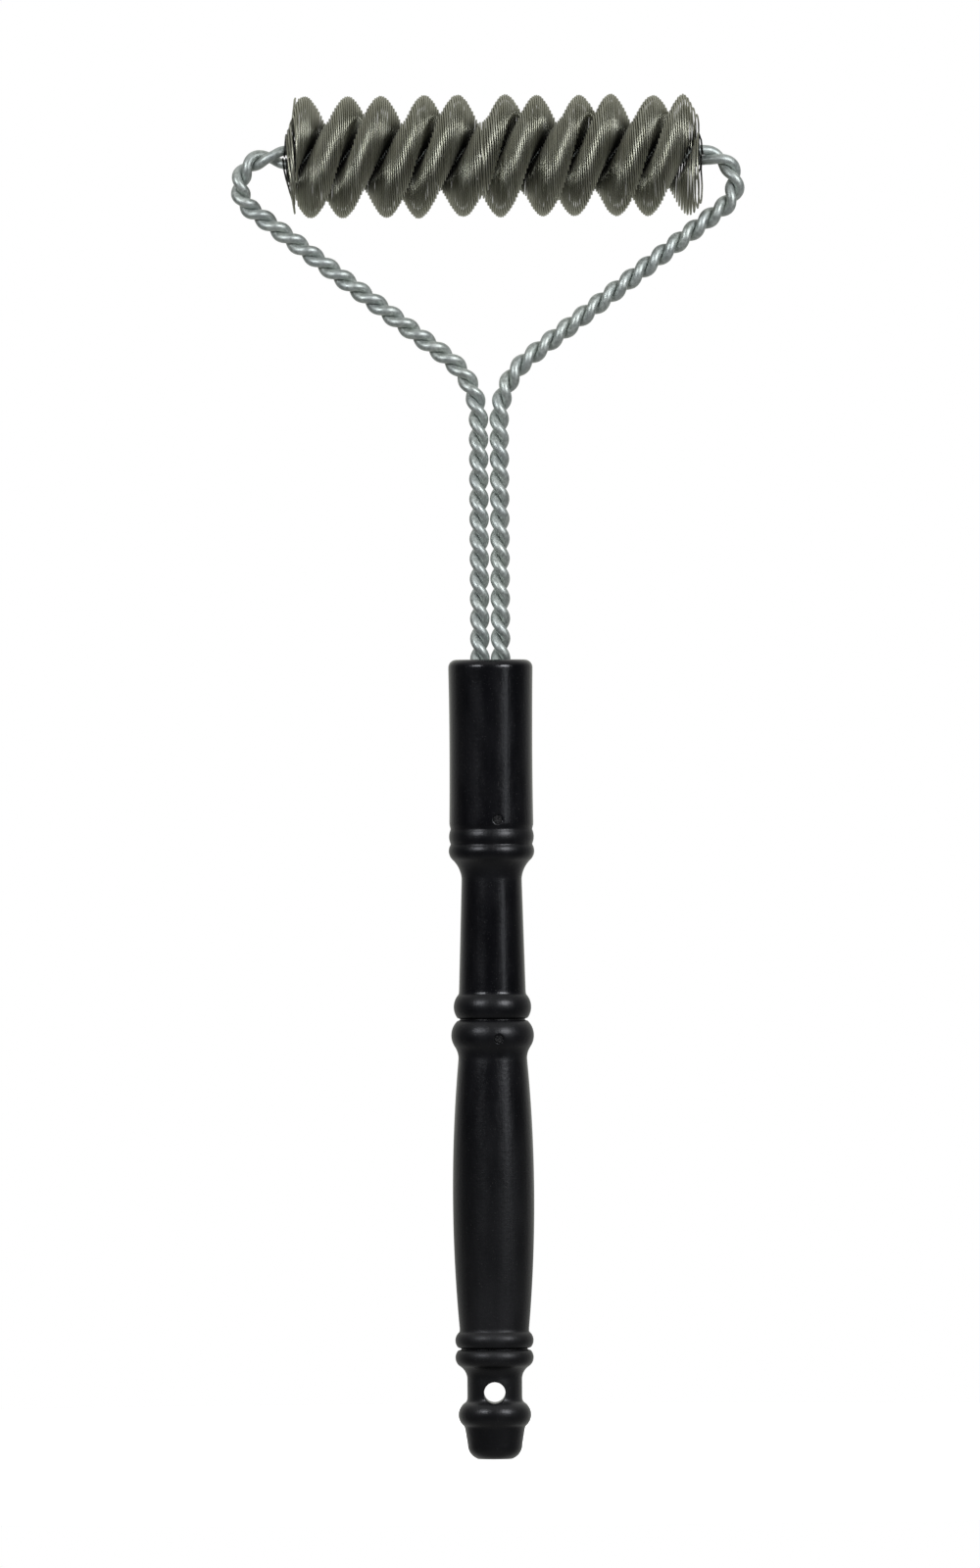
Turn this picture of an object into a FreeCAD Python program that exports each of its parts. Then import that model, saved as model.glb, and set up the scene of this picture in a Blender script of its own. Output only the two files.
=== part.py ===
import FreeCAD, Part
import math
import os
import Sketcher

# A grill cleaning brush: a turned hardwood handle, a triangular frame made of two
# steel wires twisted together, and two coils of fine stainless wire that the two
# frame wires hold between them across the top.
#
# Frame: the origin is the centre of the handle's butt end. +Z runs up the handle to
# the head, +X along the head to the right, and -Y faces the user. Millimetres.

Vector = FreeCAD.Vector

# ---------------------------------------------------------------- driving sizes
SIZES = {
    # handle, turned from one piece of wood
    "handle_length": 237.7,
    "bore_diameter": 12.7,
    "bore_depth": 122.7,
    "hang_hole_diameter": 6.35,
    "hang_hole_height": 19.8,
    # brad nails
    "nail_shank_diameter": 1.4,
    "nail_head_diameter": 2.4,
    "nail_head_thickness": 1.0,
    "nail_point_length": 2.0,
    "nail_length": 19.0,
    "nail_seat": 11.9,
    "nail_turn": 9.0,
    "upper_nail_height": 190.2,
    "lower_nail_height": 125.0,
    # frame wires
    "wire_diameter": 2.95,
    "strand_offset": 1.52,
    "stem_spacing": 6.14,
    "stem_top": 320.6,
    "stem_bend_radius": 24.0,
    "arm_rise": 37.4,
    "head_height": 387.4,
    "corner_radius": 8.6,
    "half_twist": 5.93,
    "corner_twist": 0.93,
    "mouth_twist_height": 238.0,
    # head, where the same two wires hold the coils
    "head_strand_offset": 2.11,
    "head_pitch": 22.67,
    "head_twist_beyond": 1.5,
    "closing_length": 3.5,
    "head_phase": 138.8,
    "coil_left": -61.4,
    "coil_right": 61.8,
    "coil_joint": -1.3,
    "coil_gap": 0.5,
    "coil_wire_diameter": 0.5,
    "lobe_lean": 13.5,
    # how far the lobes at each coil's two ends trail the frame wires' twist, in degrees
    "left_coil_lag_start": -2.7,
    "left_coil_lag_end": -4.5,
    "right_coil_lag_start": -29.4,
    "right_coil_lag_end": 1.9,
}

doc = FreeCAD.newDocument("grill_brush")
sheet = doc.addObject("Spreadsheet::Sheet", "Sizes")


def add_cell(name, value):
    """Write one named size on the next free row of the sheet."""
    add_cell.row += 1
    sheet.set("A%d" % add_cell.row, name)
    sheet.set("B%d" % add_cell.row, str(value))
    sheet.setAlias("B%d" % add_cell.row, name)


add_cell.row = 0
for size_name, size_value in SIZES.items():
    add_cell(size_name, size_value)

# The handle's outline from the butt end up. Each point is (name, height, radius), and
# the third number of a step is the radius of the arc that leads to it: positive for a
# bead, negative for a cove, and 0 for a straight line.
OUTLINE = [
    ("butt_face", 0.0, 5.2, 0.0),
    ("butt_edge", 4.3, 8.15, 4.5),
    ("butt_cone", 9.6, 9.0, 0.0),
    ("butt_bead", 16.9, 8.6, 4.3),
    ("hang_neck_low", 18.2, 8.15, -2.5),
    ("hang_neck_high", 23.4, 8.15, 0.0),
    ("lower_cove", 27.7, 10.5, -4.6),
    ("lower_bead_one", 32.7, 10.7, 3.2),
    ("lower_bead_two", 37.9, 10.25, 3.2),
    ("grip", 119.2, 10.2, 441.0),
    ("grip_cove", 122.5, 11.2, -6.5),
    ("grip_bead_one", 130.7, 10.3, 6.0),
    ("grip_bead_two", 138.3, 9.95, 5.6),
    ("neck", 172.7, 8.95, 0.0),
    ("upper_cove", 178.0, 11.4, -8.8),
    ("upper_bead_one", 182.8, 12.1, 3.6),
    ("upper_bead_two", 187.3, 12.1, 5.3),
    ("barrel_low", 188.7, 12.5, 0.0),
    ("barrel", 235.4, 12.55, -1400.0),
    ("barrel_edge", 237.7, 10.2, 2.35),
]
for point_name, height, radius, curve in OUTLINE:
    add_cell(point_name + "_height", height)
    add_cell(point_name + "_radius", radius)
    if curve:
        add_cell(point_name + "_curve", abs(curve))
doc.recompute()


def size(name):
    """The value of a named cell."""
    return float(sheet.get(name))


# ---------------------------------------------------------------- PartDesign helpers
def origin_plane(body, role):
    """One of the body's own origin planes or axes, found by its role."""
    for feature in body.Origin.OriginFeatures:
        if feature.Role == role:
            return feature
    raise ValueError(role)


def new_body(label):
    body = doc.addObject("PartDesign::Body", label)
    body.Label = label
    return body


def new_sketch(body, name, role):
    """A sketch on one of the body's origin planes."""
    sketch = body.newObject("Sketcher::SketchObject", name)
    sketch.AttachmentSupport = (origin_plane(body, role), [""])
    sketch.MapMode = "FlatFace"
    return sketch


def bind(sketch, kind, arguments, value, expression, name):
    """Add one driving constraint and tie it to the sheet."""
    index = sketch.addConstraint(Sketcher.Constraint(kind, *arguments, value))
    sketch.renameConstraint(index, name)
    sketch.setExpression("Constraints." + name, expression)


def check_cut(body, before, what):
    """Stop if a cut has removed nothing."""
    doc.recompute()
    if body.Shape.Volume > before - 0.5:
        raise RuntimeError(what + " removed nothing")


def arc_between(start, end, radius, bead):
    """An arc of the given radius from start up to end, bulging out for a bead."""
    chord = end - start
    middle = (start + end) * 0.5
    to_centre = math.sqrt(radius**2 - (chord.Length / 2) ** 2)
    inward = Vector(-chord.y, chord.x, 0).normalize()
    centre = middle + inward * (to_centre if bead else -to_centre)
    first, last = (start, end) if bead else (end, start)
    angles = [math.atan2(point.y - centre.y, point.x - centre.x) for point in (first, last)]
    circle = Part.Circle(centre, Vector(0, 0, 1), radius)
    return Part.ArcOfCircle(circle, angles[0], angles[1])


# ---------------------------------------------------------------- handle
def turned_outline(body):
    """The sketch of half the handle, to be turned about its own axis."""
    sketch = new_sketch(body, "HandleOutline", "XZ_Plane")
    corners = [Vector(0, 0, 0)] + [Vector(radius, height, 0) for _, height, radius, _ in OUTLINE]
    corners.append(Vector(0, size("handle_length"), 0))
    curves = [0.0] + [curve for _, _, _, curve in OUTLINE[1:]] + [0.0, 0.0]
    ends = []
    steps = list(zip(corners, corners[1:] + corners[:1], curves[:1] + curves[1:]))
    for start, end, curve in steps:
        if curve:
            index = sketch.addGeometry(arc_between(start, end, abs(curve), curve > 0))
            ends.append((index, 1, 2) if curve > 0 else (index, 2, 1))
        else:
            index = sketch.addGeometry(Part.LineSegment(start, end))
            ends.append((index, 1, 2))
    for this, following in zip(ends, ends[1:] + ends[:1]):
        sketch.addConstraint(Sketcher.Constraint("Coincident", this[0], this[2], following[0], following[1]))
    # the butt end and both ends of the axis
    sketch.addConstraint(Sketcher.Constraint("Coincident", ends[0][0], ends[0][1], -1, 1))
    sketch.addConstraint(Sketcher.Constraint("Horizontal", ends[0][0]))
    sketch.addConstraint(Sketcher.Constraint("PointOnObject", ends[-1][0], ends[-1][1], -2))
    sketch.addConstraint(Sketcher.Constraint("Horizontal", ends[-2][0]))
    for (index, _, last), (name, height, radius, curve) in zip(ends, OUTLINE):
        bind(sketch, "DistanceX", (-1, 1, index, last), radius, "Sizes." + name + "_radius", name + "_r")
        if height:
            bind(sketch, "DistanceY", (-1, 1, index, last), height, "Sizes." + name + "_height", name + "_h")
        if curve:
            bind(sketch, "Radius", (index,), abs(curve), "Sizes." + name + "_curve", name + "_c")
    return sketch


def make_handle():
    body = new_body("handle")
    outline = turned_outline(body)
    turning = body.newObject("PartDesign::Revolution", "Turning")
    turning.Profile = outline
    turning.ReferenceAxis = (outline, ["V_Axis"])
    turning.Angle = 360
    doc.recompute()
    solid_volume = body.Shape.Volume

    # the drilled hole that takes the four wire ends
    mouth = new_sketch(body, "BoreMouth", "XY_Plane")
    mouth.setExpression("AttachmentOffset.Base.z", "Sizes.handle_length")
    mouth.addGeometry(Part.Circle(Vector(0, 0, 0), Vector(0, 0, 1), size("bore_diameter") / 2))
    mouth.addConstraint(Sketcher.Constraint("Coincident", 0, 3, -1, 1))
    bind(mouth, "Diameter", (0,), size("bore_diameter"), "Sizes.bore_diameter", "bore")
    bore = body.newObject("PartDesign::Pocket", "Bore")
    bore.Profile = mouth
    bore.setExpression("Length", "Sizes.bore_depth")
    check_cut(body, solid_volume, "the bore")
    bored_volume = body.Shape.Volume

    # the hole it hangs by, right through from front to back
    ring = new_sketch(body, "HangHoleCircle", "XZ_Plane")
    ring.addGeometry(
        Part.Circle(Vector(0, size("hang_hole_height"), 0), Vector(0, 0, 1), size("hang_hole_diameter") / 2)
    )
    ring.addConstraint(Sketcher.Constraint("PointOnObject", 0, 3, -2))
    bind(ring, "DistanceY", (-1, 1, 0, 3), size("hang_hole_height"), "Sizes.hang_hole_height", "hang_height")
    bind(ring, "Diameter", (0,), size("hang_hole_diameter"), "Sizes.hang_hole_diameter", "hang_diameter")
    hang = body.newObject("PartDesign::Pocket", "HangHole")
    hang.Profile = ring
    hang.Midplane = True
    hang.Type = "ThroughAll"
    check_cut(body, bored_volume, "the hang hole")
    drilled_volume = body.Shape.Volume

    # the two nail holes, counterbored where the heads are set below the surface
    nails = new_sketch(body, "NailCentres", "XZ_Plane")
    outside = size("nail_seat") + 2.0
    nails.AttachmentOffset = FreeCAD.Placement(
        Vector(0, 0, 0), FreeCAD.Rotation(Vector(0, 1, 0), size("nail_turn"))
    ).multiply(FreeCAD.Placement(Vector(0, 0, outside), FreeCAD.Rotation()))
    for number, name in enumerate(("upper_nail", "lower_nail")):
        height = size(name + "_height")
        nails.addGeometry(Part.Circle(Vector(0, height, 0), Vector(0, 0, 1), size("nail_shank_diameter") / 2))
        nails.addConstraint(Sketcher.Constraint("PointOnObject", number, 3, -2))
        bind(nails, "DistanceY", (-1, 1, number, 3), height, "Sizes." + name + "_height", name + "_h")
        bind(
            nails,
            "Diameter",
            (number,),
            size("nail_shank_diameter"),
            "Sizes.nail_shank_diameter",
            name + "_d",
        )
    doc.recompute()
    holes = body.newObject("PartDesign::Hole", "NailHoles")
    holes.Profile = nails
    holes.DepthType = "Dimension"
    holes.DrillPoint = "Flat"
    holes.HoleCutType = "Counterbore"
    holes.HoleCutCustomValues = True
    holes.setExpression("Diameter", "Sizes.nail_shank_diameter")
    holes.setExpression("Depth", "2 + Sizes.nail_length")
    holes.setExpression("HoleCutDiameter", "Sizes.nail_head_diameter")
    holes.setExpression("HoleCutDepth", "2 + Sizes.nail_head_thickness")
    check_cut(body, drilled_volume, "the nail holes")
    return body


# ---------------------------------------------------------------- nails
def make_nail(label):
    """A brad nail, turned about its own axis with its head at the origin."""
    body = new_body(label)
    sketch = new_sketch(body, label.title().replace("_", "") + "Outline", "XZ_Plane")
    head = size("nail_head_diameter") / 2
    shank = size("nail_shank_diameter") / 2
    under_head = size("nail_head_thickness")
    point_start = size("nail_length") - size("nail_point_length")
    corners = [
        Vector(0, 0, 0),
        Vector(head, 0, 0),
        Vector(head, under_head, 0),
        Vector(shank, under_head, 0),
        Vector(shank, point_start, 0),
        Vector(0, size("nail_length"), 0),
    ]
    count = len(corners)
    for start, end in zip(corners, corners[1:] + corners[:1]):
        sketch.addGeometry(Part.LineSegment(start, end))
    for index in range(count):
        sketch.addConstraint(Sketcher.Constraint("Coincident", index, 2, (index + 1) % count, 1))
    sketch.addConstraint(Sketcher.Constraint("Coincident", 0, 1, -1, 1))
    sketch.addConstraint(Sketcher.Constraint("Horizontal", 0))
    sketch.addConstraint(Sketcher.Constraint("Vertical", 1))
    sketch.addConstraint(Sketcher.Constraint("Horizontal", 2))
    sketch.addConstraint(Sketcher.Constraint("Vertical", 3))
    sketch.addConstraint(Sketcher.Constraint("PointOnObject", 4, 2, -2))
    bind(sketch, "DistanceX", (-1, 1, 0, 2), head, "Sizes.nail_head_diameter / 2", "head_r")
    bind(sketch, "DistanceY", (-1, 1, 1, 2), under_head, "Sizes.nail_head_thickness", "head_t")
    bind(sketch, "DistanceX", (-1, 1, 2, 2), shank, "Sizes.nail_shank_diameter / 2", "shank_r")
    bind(
        sketch,
        "DistanceY",
        (-1, 1, 3, 2),
        point_start,
        "Sizes.nail_length - Sizes.nail_point_length",
        "shank_l",
    )
    bind(sketch, "DistanceY", (-1, 1, 4, 2), size("nail_length"), "Sizes.nail_length", "nail_l")
    turning = body.newObject("PartDesign::Revolution", label.title().replace("_", "") + "Turning")
    turning.Profile = sketch
    turning.ReferenceAxis = (sketch, ["V_Axis"])
    turning.Angle = 360
    turn = math.radians(size("nail_turn"))
    inward = Vector(-math.sin(turn), math.cos(turn), 0)
    seat = inward * -size("nail_seat") + Vector(0, 0, size(label + "_height"))
    body.Placement = FreeCAD.Placement(seat, FreeCAD.Rotation(Vector(0, 0, 1), inward))
    body.setExpression("Placement.Base.z", "Sizes." + label + "_height")
    return body


# ---------------------------------------------------------------- skins
SECTION_POLES = 8
# A closed uniform cubic B-spline runs inside its control points by this share.
POLE_REACH = 3 / (2 + math.cos(2 * math.pi / SECTION_POLES))


def skin_surface(rings, stations, knots, multiplicities):
    """A surface through rings of section poles, closed round each ring.

    Each ring holds the poles of one closed cubic B-spline section with the given knots,
    and stations gives the rings' places along the piece.
    """
    columns = []
    for number in range(len(rings[0])):
        column = Part.BSplineCurve()
        column.interpolate(Points=[ring[number] for ring in rings], Parameters=stations)
        columns.append(column)
    skin = Part.BSplineSurface()
    skin.buildFromPolesMultsKnots(
        [column.getPoles() for column in columns],
        multiplicities,
        columns[0].getMultiplicities(),
        knots,
        columns[0].getKnots(),
        True,
        False,
        3,
        3,
    )
    return skin


def skin_faces(skin, stations, per_face):
    """The skin as faces of per_face stations each."""
    first, last, _, _ = skin.bounds()
    breaks = stations[:-1:per_face] + [stations[-1]]
    faces = []
    for low, high in zip(breaks, breaks[1:]):
        piece = skin.copy()
        piece.segment(first, last, low, high)
        faces.append(piece.toShape())
    return faces


def capped_solid(skin, stations, per_face):
    """The solid inside a skin, with a flat cap at each end."""
    faces = skin_faces(skin, stations, per_face)
    for station in (stations[0], stations[-1]):
        faces.append(Part.Face(Part.Wire(skin.vIso(station).toShape())))
    shell = Part.Compound(faces)
    shell.sewShape()
    solid = Part.Solid(shell.Shells[0])
    if solid.Volume < 0:
        solid.reverse()
    return solid


def round_rings(centres, side, diameter):
    """Section poles of a round wire whose centres are given, square to the wire."""
    radius = diameter / 2 * POLE_REACH
    last = len(centres) - 1
    rings = []
    for number, centre in enumerate(centres):
        along = centres[min(number + 1, last)] - centres[max(number - 1, 0)]
        along.normalize()
        across = side - along * side.dot(along)
        across.normalize()
        over = along.cross(across)
        ring = []
        for pole in range(SECTION_POLES):
            angle = 2 * math.pi * pole / SECTION_POLES
            ring.append(centre + across * (radius * math.cos(angle)) + over * (radius * math.sin(angle)))
        rings.append(ring)
    return rings


# ---------------------------------------------------------------- frame wires
def frame_path():
    """The frame's centreline as straight runs and tangent arcs, left end first.

    Each piece is (length, start, direction, turn), where turn is the signed turning
    in radians per millimetre, clockwise seen from the front.
    """
    rise = math.radians(size("arm_rise"))
    stem_x = size("stem_spacing") / 2
    stem_end = size("handle_length") - size("bore_depth") + 1.0
    bend = size("stem_bend_radius")
    corner = size("corner_radius")
    bend_turn = math.pi / 2 - rise
    corner_turn = math.pi - rise
    bend_trim = bend * math.tan(bend_turn / 2)
    corner_trim = corner * math.tan(corner_turn / 2)
    arm_span = (size("head_height") - size("stem_top")) / math.sin(rise)
    half_width = stem_x + arm_span * math.cos(rise)
    stem = size("stem_top") - bend_trim - stem_end
    arm = arm_span - bend_trim - corner_trim
    head = 2 * (half_width - corner_trim)
    runs = [
        (stem, 0.0),
        (bend * bend_turn, -1 / bend),
        (arm, 0.0),
        (corner * corner_turn, 1 / corner),
        (head, 0.0),
        (corner * corner_turn, 1 / corner),
        (arm, 0.0),
        (bend * bend_turn, -1 / bend),
        (stem, 0.0),
    ]
    place = Vector(-stem_x, 0, stem_end)
    heading = math.pi / 2
    pieces = []
    for length, turn in runs:
        pieces.append((length, place, heading, turn))
        place, heading = along_piece(pieces[-1], length)
    return pieces


def along_piece(piece, distance):
    """The point and heading at a distance along one piece of the path."""
    _, start, heading, turn = piece
    if turn == 0:
        return start + Vector(math.cos(heading), 0, math.sin(heading)) * distance, heading
    swung = heading - turn * distance
    x = (math.sin(heading) - math.sin(swung)) / turn
    z = (math.cos(swung) - math.cos(heading)) / turn
    return start + Vector(x, 0, z), swung


def along_path(pieces, distance):
    """The point and heading at a distance along the whole path."""
    for piece in pieces[:-1]:
        if distance < piece[0]:
            return along_piece(piece, distance)
        distance -= piece[0]
    return along_piece(pieces[-1], distance)


def twist_marks(pieces):
    """Where the twist is known: (distance, half turns so far, half turns per mm).

    The strands lie side by side at the handle's mouth. They lie front to back at both
    nails, so the nails pass between the stems. In the head they follow the coils.
    """
    rate = 1 / size("half_twist")
    head_rate = 2 / size("head_pitch")
    total = sum(piece[0] for piece in pieces)
    stem_start = pieces[0][1].z
    mouth = size("mouth_twist_height") - stem_start
    upper = size("upper_nail_height") - stem_start
    lower = size("lower_nail_height") - stem_start
    upper_turns = math.floor((mouth - upper) * rate) + 0.5
    lower_turns = upper_turns + round((upper - lower) * rate)
    head_start = sum(piece[0] for piece in pieces[:4])
    head_middle = head_start + pieces[4][0] / 2
    beyond = size("head_twist_beyond")
    head_left = size("coil_left") - beyond
    head_right = size("coil_right") + beyond
    coil_in = head_middle + head_left
    coil_out = head_middle + head_right

    def head_turns(x):
        return (x / size("head_pitch") * 360 - size("head_phase")) / 180

    # whole half turns from the mouth to the last one before each corner
    arm_turns = math.floor((head_start - pieces[3][0] - mouth) * rate)
    left_mark = mouth + arm_turns / rate
    right_mark = total - left_mark
    # round the corners the twist is a little looser, and meets the coils' own twist
    corner_rate = rate * size("corner_twist")
    in_turns = head_turns(head_left)
    left_turns = math.floor(in_turns) - round((coil_in - left_mark) * corner_rate - in_turns % 1.0)
    out_turns = head_turns(head_right)
    right_turns = math.floor(out_turns) + round((right_mark - coil_out) * corner_rate + out_turns % 1.0)
    mouth_turns = left_turns - arm_turns
    end_turns = right_turns + arm_turns
    return [
        (0.0, mouth_turns - lower_turns - lower * rate, rate),
        (lower, mouth_turns - lower_turns, rate),
        (upper, mouth_turns - upper_turns, rate),
        (mouth, mouth_turns, rate),
        (left_mark, left_turns, rate),
        (coil_in, in_turns, head_rate),
        (coil_out, out_turns, head_rate),
        (right_mark, right_turns, rate),
        (total - mouth, end_turns, rate),
        (total - upper, end_turns + upper_turns, rate),
        (total - lower, end_turns + lower_turns, rate),
        (total, end_turns + lower_turns + lower * rate, rate),
    ]


def half_turns_at(marks, distance):
    """Half turns at a distance, smoothly joined between the marks."""
    for (s0, t0, r0), (s1, t1, r1) in zip(marks, marks[1:]):
        if distance <= s1:
            break
    span = s1 - s0
    u = (distance - s0) / span
    return (
        t0 * (1 + 2 * u) * (1 - u) ** 2
        + r0 * span * u * (1 - u) ** 2
        + t1 * u**2 * (3 - 2 * u)
        + r1 * span * u**2 * (u - 1)
    )


def strand_offset_at(marks, distance):
    """The strands stand further apart in the head, with the coils' wire between them."""
    near, far = size("strand_offset"), size("head_strand_offset")
    beyond = size("head_twist_beyond")
    first, last = marks[5][0] + beyond, marks[6][0] - beyond
    outside = max(first - distance, distance - last, 0.0)
    share = min(outside / size("closing_length"), 1.0)
    return far + (near - far) * share**2 * (3 - 2 * share)


PER_HALF_TURN = 6
FACE_HALF_TURNS = 5


def make_core_wire(label, phase):
    """One frame wire, from its end in the handle round the whole frame and back."""
    pieces = frame_path()
    marks = twist_marks(pieces)
    total = marks[-1][0]
    count = round(marks[-1][1] - marks[0][1]) * PER_HALF_TURN
    stations = [total * number / count for number in range(count + 1)]
    centres = []
    for distance in stations:
        place, heading = along_path(pieces, distance)
        inside = Vector(math.sin(heading), 0, -math.cos(heading))
        angle = phase - math.pi * half_turns_at(marks, distance)
        offset = strand_offset_at(marks, distance)
        centres.append(place + inside * (offset * math.cos(angle)) + Vector(0, offset * math.sin(angle), 0))
    rings = round_rings(centres, Vector(0, 1, 0), size("wire_diameter"))
    knots = list(range(SECTION_POLES + 1))
    skin = skin_surface(rings, stations, knots, [1] * len(knots))
    wire = doc.addObject("Part::Feature", label)
    wire.Label = label
    wire.Shape = capped_solid(skin, stations, FACE_HALF_TURNS * PER_HALF_TURN)
    wire.Placement = FreeCAD.Placement()
    return wire


# ---------------------------------------------------------------- coils
# One flattened loop of a coil, seen along the head, is the same in each quarter. From
# the nip between the two frame wires it goes round one of them, as (across, up) points,
# closes over it, and then goes along its lobe, which is a slightly egg-shaped ellipse.
NIP = [
    (0.0, 0.31),
    (0.75, 0.43),
    (1.45, 0.84),
    (1.98, 1.55),
    (2.08, 2.30),
    (1.85, 3.05),
    (1.30, 3.72),
    (0.80, 4.40),
    (0.60, 5.20),
]
LOBE_CENTRE = 8.95
LOBE_HALF_LENGTH = 9.0
LOBE_HALF_WIDTH = 10.3
LOBE_EGG = -0.1
LOBE_ANGLES = [148, 132, 114, 96, 77, 58, 39, 20, 0]
# The lobes turn between these distances from the middle of the loop.
TURN_STARTS = 2.4
TURN_ENDS = 9.4


def swung(point, angle):
    """The same point once its lobe has swung round the head's axis by an angle."""
    share = min(max((abs(point.x) - TURN_STARTS) / (TURN_ENDS - TURN_STARTS), 0.0), 1.0)
    turn = math.radians(angle) * share**2 * (3 - 2 * share)
    return Vector(
        point.x * math.cos(turn) - point.y * math.sin(turn),
        point.x * math.sin(turn) + point.y * math.cos(turn),
        0,
    )


def leaned(point):
    """The same point once its lobe leans down, away from the upper frame wire."""
    return swung(point, -math.copysign(size("lobe_lean"), point.x))


def loop_curve():
    """The middle line of one whole loop, as a closed curve."""
    out = [Vector(across, up, 0) for across, up in NIP]
    for angle in map(math.radians, LOBE_ANGLES):
        across = LOBE_CENTRE + LOBE_HALF_LENGTH * math.cos(angle)
        half_width = LOBE_HALF_WIDTH * (1 + LOBE_EGG * math.cos(angle))
        out.append(Vector(across, half_width * math.sin(angle), 0))
    right = out + [Vector(point.x, -point.y, 0) for point in out[-2::-1]]
    left = [Vector(-point.x, point.y, 0) for point in right[-2:0:-1]]
    curve = Part.BSplineCurve()
    curve.interpolate(Points=[leaned(point) for point in right + left], PeriodicFlag=True)
    return curve


def offset_loop(middle, distance):
    """The loop's curve moved outwards by a distance."""
    points = []
    for knot in middle.getKnots()[:-1]:
        along = middle.tangent(knot)[0]
        points.append(middle.value(knot) + Vector(-along.y, along.x, 0) * distance)
    curve = Part.BSplineCurve()
    curve.interpolate(Points=points, PeriodicFlag=True)
    return curve


def head_point(point, x):
    """A point of the loop, turned with the frame wires and set at x along the head."""
    angle = math.radians(size("head_phase") - 360 * x / size("head_pitch"))
    across = Vector(0, -math.cos(angle), -math.sin(angle))
    up = Vector(0, math.sin(angle), -math.cos(angle))
    return Vector(x, 0, size("head_height")) + across * point.x + up * point.y


STEPS_PER_TURN = 24


def make_coil(label, start, end):
    """One coil as a closed solid of the shape that its loops fill."""
    steps = round((end - start) / size("head_pitch") * STEPS_PER_TURN)
    stations = [start + (end - start) * number / steps for number in range(steps + 1)]
    section = offset_loop(loop_curve(), size("coil_wire_diameter") / 2)
    first_lag, last_lag = size(label + "_lag_start"), size(label + "_lag_end")
    rings = []
    for number, x in enumerate(stations):
        lag = first_lag + (last_lag - first_lag) * number / steps
        rings.append([head_point(swung(pole, -lag), x) for pole in section.getPoles()])
    skin = skin_surface(rings, stations, section.getKnots(), section.getMultiplicities())
    coil = doc.addObject("Part::Feature", label)
    coil.Label = label
    coil.Shape = capped_solid(skin, stations, STEPS_PER_TURN // 2)
    coil.Placement = FreeCAD.Placement()
    return coil


make_handle()
make_nail("upper_nail")
make_nail("lower_nail")
make_core_wire("core_wire_a", 0.0)
make_core_wire("core_wire_b", math.pi)
HALF_GAP = size("coil_gap") / 2
make_coil("left_coil", size("coil_left"), size("coil_joint") - HALF_GAP)
make_coil("right_coil", size("coil_joint") + HALF_GAP, size("coil_right"))

NODES = ["handle", "upper_nail", "lower_nail", "core_wire_a", "core_wire_b", "left_coil", "right_coil"]
doc.recompute()
for item in doc.Objects:
    if "Invalid" in item.State or "Error" in item.State:
        raise RuntimeError("%s failed: %s" % (item.Name, item.State))
os.makedirs("parts", exist_ok=True)
for node in NODES:
    shape = doc.getObject(node).Shape
    if shape.isNull() or not shape.isValid():
        raise RuntimeError(node + " has no valid shape")
    shape.exportStep("parts/" + node + ".step")
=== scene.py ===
import math

import bpy
import numpy as np
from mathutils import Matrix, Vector


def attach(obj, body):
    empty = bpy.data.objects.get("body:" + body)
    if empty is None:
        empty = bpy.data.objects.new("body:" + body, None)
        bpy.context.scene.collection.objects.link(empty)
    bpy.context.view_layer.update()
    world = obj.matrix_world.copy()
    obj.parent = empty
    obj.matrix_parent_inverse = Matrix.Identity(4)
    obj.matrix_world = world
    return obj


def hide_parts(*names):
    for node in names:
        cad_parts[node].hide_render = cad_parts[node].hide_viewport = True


# A grill cleaning brush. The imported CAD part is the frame. The handle, the two frame
# wires and the two coils are rebuilt here as finer meshes in the same places, and the
# CAD nails are kept. Lengths are in millimetres until a mesh is made.

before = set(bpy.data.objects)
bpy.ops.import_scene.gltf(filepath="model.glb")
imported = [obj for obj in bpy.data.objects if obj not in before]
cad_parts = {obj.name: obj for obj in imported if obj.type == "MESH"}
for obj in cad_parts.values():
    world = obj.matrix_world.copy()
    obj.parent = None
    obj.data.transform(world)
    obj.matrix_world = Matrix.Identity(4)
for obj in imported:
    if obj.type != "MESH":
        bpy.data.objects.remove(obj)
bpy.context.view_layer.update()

MM = 0.001
ROOT = "root"
# size of the broken edge at a wire's end, as a share of its radius
END_EDGE = 0.12
# lengths in a wire's UVs are in centimetres
UV_PER_MM = 0.1


# ---------------------------------------------------------------- mesh helpers
def mesh_object(name, points, faces, uvs=None):
    """A smooth mesh object from points in millimetres. uvs holds one (u, v) per face corner."""
    mesh = bpy.data.meshes.new(name)
    mesh.from_pydata((np.asarray(points) * MM).tolist(), [], faces)
    if uvs is not None:
        layer = mesh.uv_layers.new(name="Along")
        layer.data.foreach_set("uv", np.asarray(uvs, np.float32).ravel())
    mesh.polygons.foreach_set("use_smooth", [True] * len(mesh.polygons))
    mesh.update()
    made = bpy.data.objects.new(name, mesh)
    bpy.context.scene.collection.objects.link(made)
    return made


def unit(vectors):
    return vectors / np.linalg.norm(vectors, axis=-1, keepdims=True)


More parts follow.
